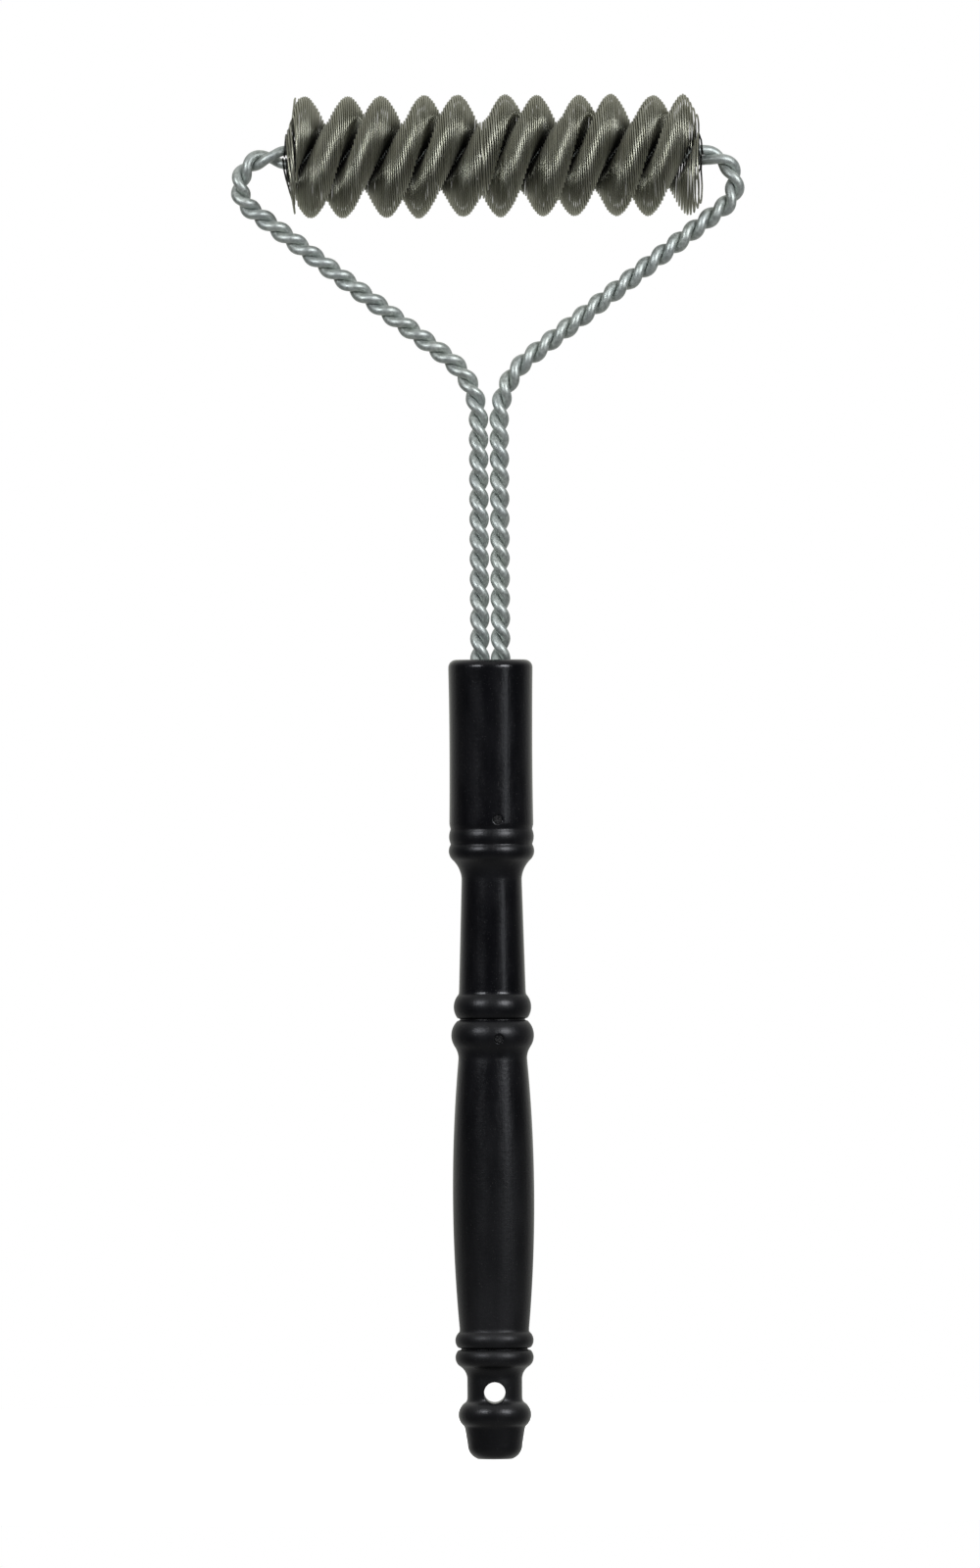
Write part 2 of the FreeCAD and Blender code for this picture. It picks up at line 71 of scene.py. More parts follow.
def tube(name, centres, radius, sides, reference):
    """A round wire along centres, closed at both ends with a slightly broken edge.

    reference is a direction that the wire never runs along. v of its UVs is its length in
    centimetres.
    """
    centres = np.asarray(centres, float)
    along = unit(np.gradient(centres, axis=0))
    across = unit(reference - along * (along @ reference)[:, None])
    over = np.cross(along, across)
    turn = np.arange(sides) * (2 * math.pi / sides)
    spokes = (
        across[:, None, :] * np.cos(turn)[None, :, None]
        + over[:, None, :] * np.sin(turn)[None, :, None]
    )
    rings = centres[:, None, :] + spokes * radius
    first = centres[0] - along[0] * radius * END_EDGE + spokes[0] * radius * (1 - END_EDGE)
    last = centres[-1] + along[-1] * radius * END_EDGE + spokes[-1] * radius * (1 - END_EDGE)
    rings = np.concatenate([first[None], rings, last[None]])
    rows = len(rings)
    points = np.concatenate([rings.reshape(-1, 3), [first.mean(0)], [last.mean(0)]])
    row = np.arange(rows - 1)[:, None] * sides
    here = np.arange(sides)[None, :]
    there = (here + 1) % sides
    quads = np.stack([row + here, row + there, row + sides + there, row + sides + here], -1)
    faces = quads.reshape(-1, 4).tolist()
    start_cap, end_cap = rows * sides, rows * sides + 1
    top = (rows - 1) * sides
    for side in range(sides):
        nearby = (side + 1) % sides
        faces.append([start_cap, nearby, side])
        faces.append([end_cap, top + side, top + nearby])
    steps = np.linalg.norm(np.diff(centres, axis=0), axis=1)
    length = np.concatenate([[0, 0], np.cumsum(steps), [steps.sum()]])
    around = np.arange(sides) / sides
    u = np.empty((rows - 1, sides, 4))
    v = np.empty((rows - 1, sides, 4))
    u[:, :, 0] = u[:, :, 3] = around[None, :]
    u[:, :, 1] = u[:, :, 2] = around[None, :] + 1 / sides
    v[:, :, 0] = v[:, :, 1] = length[:-1, None]
    v[:, :, 2] = v[:, :, 3] = length[1:, None]
    uvs = np.stack([u, v * UV_PER_MM], -1).reshape(-1, 2)
    caps = np.zeros((2 * sides * 3, 2))
    return mesh_object(name, points, faces, np.concatenate([uvs, caps]))


def smooth_noise(random, count, reach):
    """Seeded noise of unit spread whose neighbours agree over about this many steps."""
    window = int(reach + 1)
    raw = random.normal(size=count + 8 * window)
    spread = np.arange(-3 * window, 3 * window + 1)
    kernel = np.exp(-0.5 * (spread / reach) ** 2)
    soft = np.convolve(raw, kernel, "same")[3 * window :][:count]
    return soft / soft.std()


def ease(value):
    """A smooth step from 0 to 1."""
    value = np.clip(value, 0.0, 1.0)
    return value * value * (3 - 2 * value)


# ---------------------------------------------------------------- frame wires
WIRE_RADIUS = 1.475
# from the twist's axis to each wire's, where the wires touch and where they grip a coil
STRAND_OFFSET = 1.455
HEAD_STRAND_OFFSET = 2.11
# the strands stay apart until this near a coil's end, and then close over CLOSING_LENGTH
HEAD_TWIST_BEYOND = 1.5
CLOSING_LENGTH = 3.5
# the height of the head's axis, the length of one whole turn of its twist, and the
# twist's angle in degrees at the middle
HEAD_HEIGHT = 387.4
HEAD_PITCH = 22.67
HEAD_PHASE = 138.8
WIRE_STEP = 0.5
WIRE_SIDES = 28

ARM_RISE = math.radians(37.4)
STEM_X = 3.07
STEM_LOW = 116.0
STEM_TOP = 320.6
BEND_RADIUS = 24.0
CORNER_RADIUS = 8.6


def frame_runs():
    """The frame's centreline as (length, start, heading, turn per mm), left end first."""
    bend_turn = math.pi / 2 - ARM_RISE
    corner_turn = math.pi - ARM_RISE
    bend_trim = BEND_RADIUS * math.tan(bend_turn / 2)
    corner_trim = CORNER_RADIUS * math.tan(corner_turn / 2)
    span = (HEAD_HEIGHT - STEM_TOP) / math.sin(ARM_RISE)
    half_width = STEM_X + span * math.cos(ARM_RISE)
    stem = (STEM_TOP - bend_trim - STEM_LOW, 0.0)
    bend = (BEND_RADIUS * bend_turn, -1 / BEND_RADIUS)
    arm = (span - bend_trim - corner_trim, 0.0)
    corner = (CORNER_RADIUS * corner_turn, 1 / CORNER_RADIUS)
    head = (2 * (half_width - corner_trim), 0.0)
    place = np.array([-STEM_X, 0.0, STEM_LOW])
    heading = math.pi / 2
    runs = []
    for length, turn in (stem, bend, arm, corner, head, corner, arm, bend, stem):
        runs.append((length, place, heading, turn))
        place, heading = along_run(runs[-1], length)
    return runs


def along_run(run, distance):
    """The place and heading at a distance along one run of the centreline."""
    _, start, heading, turn = run
    if turn == 0:
        return start + np.array([math.cos(heading), 0, math.sin(heading)]) * distance, heading
    swung = heading - turn * distance
    x = (math.sin(heading) - math.sin(swung)) / turn
    z = (math.cos(swung) - math.cos(heading)) / turn
    return start + np.array([x, 0, z]), swung


# Where the twist is known: distance along the frame, half turns so far, half turns per mm.
ARM_RATE = 0.1686
HEAD_RATE = 2 / HEAD_PITCH
TWIST_MARKS = [
    (0.0, -59.02, ARM_RATE),
    (9.0, -57.5, ARM_RATE),
    (74.2, -46.5, ARM_RATE),
    (122.0, -38.0, ARM_RATE),
    (282.11, -11.0, ARM_RATE),
    (311.02, -6.3203, HEAD_RATE),
    (437.22, 4.8134, HEAD_RATE),
    (465.73, 9.0, ARM_RATE),
    (625.8, 36.0, ARM_RATE),
    (673.6, 44.5, ARM_RATE),
    (738.8, 55.5, ARM_RATE),
    (747.8, 57.02, ARM_RATE),
]
COIL_IN, COIL_OUT = TWIST_MARKS[5][0], TWIST_MARKS[6][0]


def half_turns(distance):
    """The twist at a distance along the frame, as a smooth curve through the marks."""
    for (s0, t0, r0), (s1, t1, r1) in zip(TWIST_MARKS, TWIST_MARKS[1:]):
        if distance <= s1:
            break
    span = s1 - s0
    u = (distance - s0) / span
    return (
        t0 * (1 + 2 * u) * (1 - u) ** 2
        + r0 * span * u * (1 - u) ** 2
        + t1 * u**2 * (3 - 2 * u)
        + r1 * span * u**2 * (u - 1)
    )


def strand_offset(distance):
    """How far a wire's axis is from the twist's axis at a distance along the frame."""
    outside = max(COIL_IN - distance, distance - COIL_OUT) + HEAD_TWIST_BEYOND
    return HEAD_STRAND_OFFSET + (STRAND_OFFSET - HEAD_STRAND_OFFSET) * ease(outside / CLOSING_LENGTH)


def frame_wire(name, phase):
    """One of the two wires, starting at this angle round the twist."""
    runs = frame_runs()
    total = sum(run[0] for run in runs)
    count = round(total / WIRE_STEP)
    centres = []
    for number in range(count + 1):
        distance = total * number / count
        left = distance
        for run in runs[:-1]:
            if left < run[0]:
                break
            left -= run[0]
        else:
            run = runs[-1]
        place, heading = along_run(run, left)
        inside = np.array([math.sin(heading), 0, -math.cos(heading)])
        angle = phase - math.pi * half_turns(distance)
        offset = strand_offset(distance)
        outward = np.array([0, offset * math.sin(angle), 0])
        centres.append(place + inside * (offset * math.cos(angle)) + outward)
    return tube(name, centres, WIRE_RADIUS, WIRE_SIDES, np.array([0.0, 1.0, 0.0]))


# ---------------------------------------------------------------- coils
# Half of one side of a loop, seen along the head: the nip between the frame wires, then
# an egg-shaped lobe given by the angles of its points round its centre.
NIP = [
    (0.0, 0.31),
    (0.75, 0.43),
    (1.45, 0.84),
    (1.98, 1.55),
    (2.08, 2.30),
    (1.85, 3.05),
    (1.30, 3.72),
    (0.80, 4.40),
    (0.60, 5.20),
]
LOBE_CENTRE = 8.95
LOBE_HALF_LENGTH = 9.0
LOBE_HALF_WIDTH = 9.6
LOBE_EGG = -0.1
LOBE_ANGLES = [148, 132, 114, 96, 77, 58, 39, 20, 0]
LOBE_REACH = 18.0
# how far out the lobes start to lean, and from where they lean fully
LEAN_STARTS = 2.4
LEAN_ENDS = 9.4
# how far out the loops start to differ, and over what length
SLACK_STARTS = 3.5
SLACK_LENGTH = 6.0
LOBE_TILT = 0.05
COIL_RADIUS = 0.27
COIL_SIDES = 8
LOOP_PITCH = 0.54
LOOP_STATIONS = 88
# The loops' unevenness. Drift changes slowly, over about the last number of loops, and jump
# differs from loop to loop: places along the head and lengths in millimetres, widths as a
# share, tilts as a slope and sway in radians.
BUNCH_DRIFT, BUNCH_JUMP, BUNCH_LOOPS = 0.05, 0.010, 4.0
REACH_DRIFT, REACH_JUMP, REACH_LOOPS = 0.12, 0.05, 5.0
WIDTH_DRIFT, WIDTH_JUMP, WIDTH_LOOPS = 0.010, 0.003, 6.0
TILT_DRIFT, TILT_JUMP, TILT_LOOPS = 0.006, 0.002, 5.0
SWAY_JUMP = 0.002
# how sharply the loose loops at a coil's end spread and fold, and how unevenly they fold
SPREAD_POWER = 1.5
FOLD_POWER = 1.5
FOLD_JUMP = 0.1
# how finely a loop's spline is sampled, and how much closer its stations are on a bend
SPLINE_PARTS = 60
BEND_WINDOW = 41
BEND_WEIGHT = 2.6


def closed_spline(points, parts):
    """Points along a closed cubic spline through the given points, closer on tight bends."""
    points = np.asarray(points, float)
    count = len(points)
    chords = np.linalg.norm(np.roll(points, -1, 0) - points, axis=1)
    before = np.roll(chords, 1)
    matrix = np.zeros((count, count))
    right = np.zeros((count, points.shape[1]))
    for i in range(count):
        h0, h1 = before[i], chords[i]
        matrix[i, i - 1] += h0
        matrix[i, i] += 2 * (h0 + h1)
        matrix[i, (i + 1) % count] += h1
        ahead = (points[(i + 1) % count] - points[i]) / h1
        behind = (points[i] - points[i - 1]) / h0
        right[i] = 6 * (ahead - behind)
    second = np.linalg.solve(matrix, right)
    dense = []
    for i in range(count):
        j = (i + 1) % count
        h = chords[i]
        t = np.linspace(0, h, SPLINE_PARTS, endpoint=False)[:, None]
        dense.append(
            second[i] * (h - t) ** 3 / (6 * h)
            + second[j] * t**3 / (6 * h)
            + (points[i] / h - second[i] * h / 6) * (h - t)
            + (points[j] / h - second[j] * h / 6) * t
        )
    dense = np.concatenate(dense)
    ahead = np.roll(dense, -1, 0) - dense
    steps = np.linalg.norm(ahead, axis=1)
    heading = np.unwrap(np.arctan2(ahead[:, 1], ahead[:, 0]))
    bend = np.abs(np.gradient(heading)) / steps
    smoothed = np.convolve(bend, np.ones(BEND_WINDOW) / BEND_WINDOW, "same")
    weight = steps * (1 + BEND_WEIGHT * smoothed)
    travelled = np.concatenate([[0], np.cumsum(weight)])
    wanted = np.linspace(0, travelled[-1], parts, endpoint=False)
    closed = np.concatenate([dense, dense[:1]])
    return np.stack([np.interp(wanted, travelled, closed[:, k]) for k in range(2)], -1)


def base_loop():
    """One flattened loop seen along the head, before its lobes lean."""
    lobe = []
    for a in map(math.radians, LOBE_ANGLES):
        half_width = LOBE_HALF_WIDTH * (1 + LOBE_EGG * math.cos(a))
        lobe.append((LOBE_CENTRE + LOBE_HALF_LENGTH * math.cos(a), half_width * math.sin(a)))
    out = NIP + lobe
    right = out + [(x, -y) for x, y in out[-2::-1]]
    left = [(-x, y) for x, y in right[-2:0:-1]]
    return closed_spline(right + left, LOOP_STATIONS)


def coil(name, start, end, seed, lean, lag, left_loose, right_loose):
    """One coil: a single wire wound into pinched loops that turn with the frame wires.

    start and end are the places of the closely wound part. The lobes lean by this many
    degrees, and lag behind the twist by the two angles at the coil's start and end.
    left_loose and right_loose describe the loops at each end that nothing presses on, as
    (loops, spread, fold, slant, sprung): how many there are, how far they spread along the
    head, how far the tips of their lobes fold back over the coil, how far they slope to
    one side for each millimetre of height, and how many degrees they have sprung round.
    """
    random = np.random.RandomState(seed)
    loops = int(round((end - start) / LOOP_PITCH))
    pitch = (end - start) / loops
    base = base_loop()
    total = loops * LOOP_STATIONS + 1
    index = np.arange(total)
    u, v = base[index % LOOP_STATIONS].T
    turn = index / LOOP_STATIONS
    x = start + pitch * turn
    ends = []
    for sign, from_edge, (count, spread, fold, slant, sprung) in (
        (-1, turn, left_loose),
        (1, loops - turn, right_loose),
    ):
        share = np.clip(1 - from_edge / count, 0, 1) ** SPREAD_POWER
        x = x + sign * spread * share
        ends.append((sign, share, fold, slant, sprung))

    def drift(over):
        """Slow changes over about this many loops, one row for the lobes on each side."""
        return np.stack([smooth_noise(random, loops + 1, over) for _ in range(2)])

    def scatter():
        return random.normal(size=(2, loops + 1))

    # each lobe's own place, length, width, tilt and sway
    slow_bunch = drift(BUNCH_LOOPS)
    jump = scatter()
    bunch = BUNCH_DRIFT * slow_bunch + BUNCH_JUMP * jump
    reach = REACH_DRIFT * drift(REACH_LOOPS) + REACH_JUMP * scatter()
    width = WIDTH_JUMP * scatter() + WIDTH_DRIFT * drift(WIDTH_LOOPS)
    tilt = TILT_JUMP * scatter() + TILT_DRIFT * drift(TILT_LOOPS)
    sway = SWAY_JUMP * scatter()

    # which lobe a point is on, and how far out along it
    side = np.where(u >= 0, 0, 1)
    lobe_number = np.clip(np.floor(turn + 0.25).astype(int), 0, loops)
    pick = (side, lobe_number)
    out = ease((np.hypot(u, v) - SLACK_STARTS) / SLACK_LENGTH)
    u = u + np.sign(u) * out * reach[pick]
    v = v * (1 + out * width[pick])
    shift = out * bunch[pick] + out * v * (LOBE_TILT * np.sign(u) + tilt[pick])

    # the lobes lean away from the frame wire that passes over them
    share = ease((np.abs(u) - LEAN_STARTS) / (LEAN_ENDS - LEAN_STARTS))
    swing = -np.sign(u) * share * (math.radians(lean) + sway[pick])
    swing = swing - share * np.radians(lag[0] + (lag[1] - lag[0]) * turn / loops)
    for _, loose, _, _, sprung in ends:
        swing = swing + share * loose * math.radians(sprung)
    u, v = u * np.cos(swing) - v * np.sin(swing), u * np.sin(swing) + v * np.cos(swing)

    # the loose loops at the ends
    angle = np.radians(HEAD_PHASE - 360 * x / HEAD_PITCH)
    lift = -np.sin(angle) * u - np.cos(angle) * v
    far = np.clip(np.hypot(u, v) / LOBE_REACH, 0, 1)
    for sign, loose, fold, slant, _ in ends:
        folded = -sign * fold * far**FOLD_POWER * (1 + FOLD_JUMP * jump[pick])
        shift = shift + loose * (folded + slant * lift)

    centres = np.stack(
        [
            x + shift,
            -np.cos(angle) * u + np.sin(angle) * v,
            HEAD_HEIGHT - np.sin(angle) * u - np.cos(angle) * v,
        ],
        -1,
    )
    return tube(name, centres, COIL_RADIUS, COIL_SIDES, np.array([1.0, 0.0, 0.0]))


# ---------------------------------------------------------------- handle
# The turned outline as (height, radius, curve). curve is the radius of the arc that ends
# at this point, positive where it bulges, negative where it is hollow and 0 for a line.
OUTLINE = [
    (0.0, 5.2, 0.0),
    (4.3, 8.15, 4.5),
    (9.6, 9.0, 0.0),
    (16.9, 8.6, 4.3),
    (18.2, 8.15, -2.5),
    (23.4, 8.15, 0.0),
    (27.7, 10.5, -4.6),
    (32.3, 10.8, 3.2),
    (32.5, 9.9, 0.0),
    (32.9, 9.9, 0.0),
    (33.1, 10.8, 0.0),
    (37.9, 10.25, 3.2),
    (119.2, 10.2, 441.0),
    (122.5, 11.2, -6.5),
    (130.3, 10.45, 6.0),
    (130.5, 9.7, 0.0),
    (130.9, 9.7, 0.0),
    (131.1, 10.45, 0.0),
    (138.3, 9.95, 5.6),
    (172.7, 8.95, 0.0),
    (178.0, 11.4, -8.8),
    (182.8, 12.1, 3.6),
    (187.3, 12.1, 5.3),
    (188.7, 12.5, 0.0),
    (235.4, 12.55, -1400.0),
    (237.7, 10.2, 2.35),
]
HANDLE_LENGTH = 237.7
# rings of the butt face as (radius, height), and how deep it is hollowed at the centre
BUTT_RINGS = ((4.9, 0.0), (3.6, 0.0), (2.2, 0.0), (1.2, 0.05), (0.5, 0.45))
BUTT_HOLLOW = 0.75
# rings of the top face, then of the bore's broken edge as (radius, depth), then down it
TOP_FACE_RADII = (9.6, 8.4, 7.3, 6.9)
BORE_RADIUS = 6.35
BORE_DEPTH = 122.7
BORE_EDGE = ((6.68, 0.06), (6.48, 0.18), (BORE_RADIUS, 0.45))
BORE_RING_DEPTHS = (2, 5, 10, 20, 40, 60, 80, 100, 115, 122)
BORE_END_RADII = (6.25, 3.0, 1.0)
HANG_HOLE_HEIGHT = 19.8
HANG_HOLE_RADIUS = 3.175
HANG_HOLE_RIM = 3.525
NAIL_HEIGHTS = (190.2, 125.0)
NAIL_TURN = math.radians(9.0)
NAIL_HOLE_RADIUS = 1.27
NAIL_HOLE_RIM = 1.75
# how far the seats of the nail heads are in front of the handle's axis
NAIL_SEAT = 10.6
# half the size of the piece of the surface that each kind of hole's rings replace
HANG_HOLE_PATCH = 4.7
NAIL_HOLE_PATCH = 2.7
# rings of points round a hole, over its rounded edge, and down its wall
PATCH_RINGS = 8
EDGE_RINGS = 6
NAIL_HOLE_RINGS = 4
HANG_HOLE_RINGS = 12
# lengths of the outline's parts, on tight arcs and elsewhere
FINE_STEP = 0.3
COARSE_STEP = 0.9
TIGHTEST_LONG_ARC = 20
# points in a ring round the handle, and the angle from one to the next
SEGMENTS = 160
SEGMENT = 2 * math.pi / SEGMENTS


def outline_points():
    """The handle's outline from the butt to the top face, as (radius, height)."""
    points = [(OUTLINE[0][1], OUTLINE[0][0])]
    for (z0, r0, _), (z1, r1, curve) in zip(OUTLINE, OUTLINE[1:]):
        length = math.hypot(r1 - r0, z1 - z0)
        tight = curve != 0 and abs(curve) < TIGHTEST_LONG_ARC
        steps = max(4, int(math.ceil(length / (FINE_STEP if tight else COARSE_STEP))))
        if curve == 0:
            for k in range(1, steps + 1):
                points.append((r0 + (r1 - r0) * k / steps, z0 + (z1 - z0) * k / steps))
            continue
        radius = abs(curve)
        half = length / 2
        height = math.sqrt(radius**2 - half**2)
        inward = np.array([-(z1 - z0), r1 - r0]) / length
        middle = np.array([(r0 + r1) / 2, (z0 + z1) / 2])
        centre = middle + inward * (height if curve > 0 else -height)
        a0 = math.atan2(z0 - centre[1], r0 - centre[0])
        a1 = math.atan2(z1 - centre[1], r1 - centre[0])
        if a1 - a0 > math.pi:
            a1 -= 2 * math.pi
        if a0 - a1 > math.pi:
            a1 += 2 * math.pi
        for k in range(1, steps + 1):
            a = a0 + (a1 - a0) * k / steps
            points.append((centre[0] + radius * math.cos(a), centre[1] + radius * math.sin(a)))
    return np.array(points)


def surface_radius(outline, height):
    return np.interp(height, outline[:, 1], outline[:, 0])


class Patches:
    """Collects points and faces of the handle."""

    def __init__(self):
        self.points = []
        self.faces = []

    def add(self, points):
        start = len(self.points)
        self.points.extend(np.asarray(points, float).reshape(-1, 3).tolist())
        return list(range(start, len(self.points)))

    def bridge(self, lower, upper):
        """A closed strip of faces between two rings of points."""
        count = len(lower)
        for i in range(count):
            j = (i + 1) % count
            self.faces.append([lower[i], lower[j], upper[j], upper[i]])


def make_handle():
    """The turned handle with its bore, its hang hole and its nail holes."""
    sharp = outline_points()
    # the lacquer softens the creases between beads
    outline = sharp.copy()
    outline[1:-1] = sharp[1:-1] * 0.5 + (sharp[:-2] + sharp[2:]) * 0.25
    builder = Patches()
    angles = np.arange(SEGMENTS) * SEGMENT

    def ring(radius, height):
        return builder.add(
            np.stack(
                [radius * np.sin(angles), -radius * np.cos(angles), np.full(SEGMENTS, height)], -1
            )
        )

    rows = [ring(r, z) for r, z in outline]
    skipped = set()

    def patch(height, azimuth, half_size, rim, opening, seat=None):
        """Replace a piece of the grid round a hole with rings that follow the hole.

        With a seat the hole is blind, and ends flat at that distance from the axis.
        Otherwise this returns its last ring of points and their angles round the hole.
        """
        centre = round(azimuth / SEGMENT)
        middle_radius = surface_radius(outline, height)
        half_columns = max(3, round(math.asin(half_size / middle_radius) / SEGMENT))
        row_low = int(np.searchsorted(outline[:, 1], height - half_size)) - 1
        row_high = int(np.searchsorted(outline[:, 1], height + half_size))
        columns = [(centre + k) % SEGMENTS for k in range(-half_columns, half_columns + 1)]
        for row in range(row_low, row_high):
            for column in columns[:-1]:
                skipped.add((row, column))
        # the boundary, anticlockwise seen from outside
        edge = [(row_low, c) for c in columns]
        edge += [(row, columns[-1]) for row in range(row_low + 1, row_high + 1)]
        edge += [(row_high, c) for c in columns[-2::-1]]
        edge += [(row, columns[0]) for row in range(row_high - 1, row_low, -1)]
        boundary = [rows[row][column] for row, column in edge]
        turn = centre * SEGMENT
        local = []
        for number in boundary:
            px, py, pz = builder.points[number]
            local.append((px * math.cos(turn) + py * math.sin(turn), pz - height))
        local = np.array(local)
        polar = np.arctan2(local[:, 1], local[:, 0])
        round_hole = np.stack([np.cos(polar), np.sin(polar)], -1)

        def turned(x, y, z):
            across = x * math.cos(turn) - y * math.sin(turn)
            return np.stack([across, x * math.sin(turn) + y * math.cos(turn), z], -1)

        def place(flat, sink):
            x, z = flat[:, 0], flat[:, 1] + height
            radius = surface_radius(outline, z)
            return turned(x, -np.sqrt(np.maximum(radius**2 - x**2, 0.0)) + sink, z)

        previous = boundary
        for k in range(1, PATCH_RINGS + 1):
            share = k / PATCH_RINGS
            flat = local * (1 - share) + round_hole * rim * share
            current = builder.add(place(flat, 0.0))
            builder.bridge(previous, current)
            previous = current
        edge_size = rim - opening
        for k in range(1, EDGE_RINGS + 1):
            a = math.pi / 2 * k / EDGE_RINGS
            radius = opening + edge_size * (1 - math.sin(a))
            sink = edge_size * (1 - math.cos(a))
            current = builder.add(place(round_hole * radius, sink))
            builder.bridge(previous, current)
            previous = current
        if seat is None:
            return previous, polar
        flat = round_hole * opening
        top = place(flat, edge_size)
        bottom = turned(flat[:, 0], np.full(len(flat), -seat), flat[:, 1] + height)
        for k in range(1, NAIL_HOLE_RINGS + 1):
            share = k / NAIL_HOLE_RINGS
            current = builder.add(top * (1 - share) + bottom * share)
            builder.bridge(previous, current)
            previous = current
        tip = builder.add(np.array(builder.points)[previous].mean(0))[0]
        for i in range(len(previous)):
            builder.faces.append([previous[i], previous[(i + 1) % len(previous)], tip])
        return None

    # hang hole through the neck, front and back
    hang_hole = (HANG_HOLE_PATCH, HANG_HOLE_RIM, HANG_HOLE_RADIUS)
    front, _ = patch(HANG_HOLE_HEIGHT, 0.0, *hang_hole)
    back, polar_back = patch(HANG_HOLE_HEIGHT, math.pi, *hang_hole)
    front_points = np.array(builder.points)[front]
    # the back rim seen through the hole runs the other way round
    matched = []
    for px, _, pz in front_points:
        wanted = math.atan2(pz - HANG_HOLE_HEIGHT, -px)
        gap = np.abs((polar_back - wanted + math.pi) % (2 * math.pi) - math.pi)
        matched.append(back[int(gap.argmin())])
    back_points = np.array(builder.points)[matched]
    previous = front
    for k in range(1, HANG_HOLE_RINGS):
        share = k / HANG_HOLE_RINGS
        current = builder.add(front_points * (1 - share) + back_points * share)
        builder.bridge(previous, current)
        previous = current
    builder.bridge(previous, matched)

    # nail holes, with the heads set below the lacquer
    for height in NAIL_HEIGHTS:
        patch(height, NAIL_TURN, NAIL_HOLE_PATCH, NAIL_HOLE_RIM, NAIL_HOLE_RADIUS, NAIL_SEAT)

    for row in range(len(rows) - 1):
        for column in range(SEGMENTS):
            if (row, column) in skipped:
                continue
            following = (column + 1) % SEGMENTS
            lower, upper = rows[row], rows[row + 1]
            builder.faces.append([lower[column], lower[following], upper[following], upper[column]])

    # butt face, a little hollow where the centre held it while it was turned
    previous = rows[0]
    for radius, height in BUTT_RINGS:
        current = ring(radius, height)
        builder.bridge(current, previous)
        previous = current
    tip = builder.add([[0.0, 0.0, BUTT_HOLLOW]])[0]
    for i in range(SEGMENTS):
        builder.faces.append([previous[(i + 1) % SEGMENTS], previous[i], tip])

    # top face, the broken edge of the bore, the bore and its drilled end
    previous = rows[-1]
    top = HANDLE_LENGTH
    bottom = top - BORE_DEPTH
    inner = [(radius, top) for radius in TOP_FACE_RADII]
    inner += [(radius, top - depth) for radius, depth in BORE_EDGE]
    inner += [(BORE_RADIUS, top - depth) for depth in BORE_RING_DEPTHS]
    inner += [(radius, bottom) for radius in BORE_END_RADII]
    for radius, height in inner:
        current = ring(radius, height)
        builder.bridge(previous, current)
        previous = current
    tip = builder.add([[0.0, 0.0, bottom]])[0]
    for i in range(SEGMENTS):
        builder.faces.append([previous[i], previous[(i + 1) % SEGMENTS], tip])
    return mesh_object("handle_turned", builder.points, builder.faces)


# ---------------------------------------------------------------- materials
class Nodes:
    """Short calls for building one material's nodes."""

    def __init__(self, name):
        self.material = bpy.data.materials.new(name)
        self.material.use_nodes = True
        self.tree = self.material.node_tree
        self.shader = self.tree.nodes["Principled BSDF"]

    def add(self, kind):
        return self.tree.nodes.new(kind)

    def link(self, source, target):
        self.tree.links.new(source, target)

    def put(self, name, value):
        self.shader.inputs[name].default_value = value

    def noise(self, vector, scale, detail, roughness):
        node = self.add("ShaderNodeTexNoise")
        node.inputs["Scale"].default_value = scale
        node.inputs["Detail"].default_value = detail
        node.inputs["Roughness"].default_value = roughness
        self.link(vector, node.inputs["Vector"])
        return node.outputs["Fac"]

    def stretched(self, vector, scale):
        node = self.add("ShaderNodeMapping")
        node.inputs["Scale"].default_value = scale
        self.link(vector, node.inputs["Vector"])
        return node.outputs["Vector"]

    def ramp(self, value, low, high, to_low, to_high):
        """A smooth map of a value's range onto another range."""
        node = self.add("ShaderNodeMapRange")
        node.interpolation_type = "SMOOTHSTEP"
        node.inputs["From Min"].default_value = low
        node.inputs["From Max"].default_value = high
        node.inputs["To Min"].default_value = to_low
        node.inputs["To Max"].default_value = to_high
        self.link(value, node.inputs["Value"])
        return node.outputs["Result"]

    def mix(self, share, first, second):
        """Two colours, each a tuple or a socket, mixed by a socket's share of the second."""
        node = self.add("ShaderNodeMix")
        node.data_type = "RGBA"
        self.link(share, node.inputs[0])
        for socket, colour in ((node.inputs[6], first), (node.inputs[7], second)):
            if isinstance(colour, tuple):
                socket.default_value = (*colour, 1.0)
            else:
                self.link(colour, socket)
        return node.outputs[2]

    def calc(self, operation, first, second):
        """A Math node. The second value may be a number."""
        node = self.add("ShaderNodeMath")
        node.operation = operation
        for socket, value in zip(node.inputs, (first, second)):
            if isinstance(value, (int, float)):
                socket.default_value = value
            else:
                self.link(value, socket)
        return node.outputs[0]

    def bump(self, height, strength, distance, normal=None):
        node = self.add("ShaderNodeBump")
        node.inputs["Strength"].default_value = strength
        node.inputs["Distance"].default_value = distance
        self.link(height, node.inputs["Height"])
        if normal is not None:
            self.link(normal, node.inputs["Normal"])
        return node.outputs["Normal"]


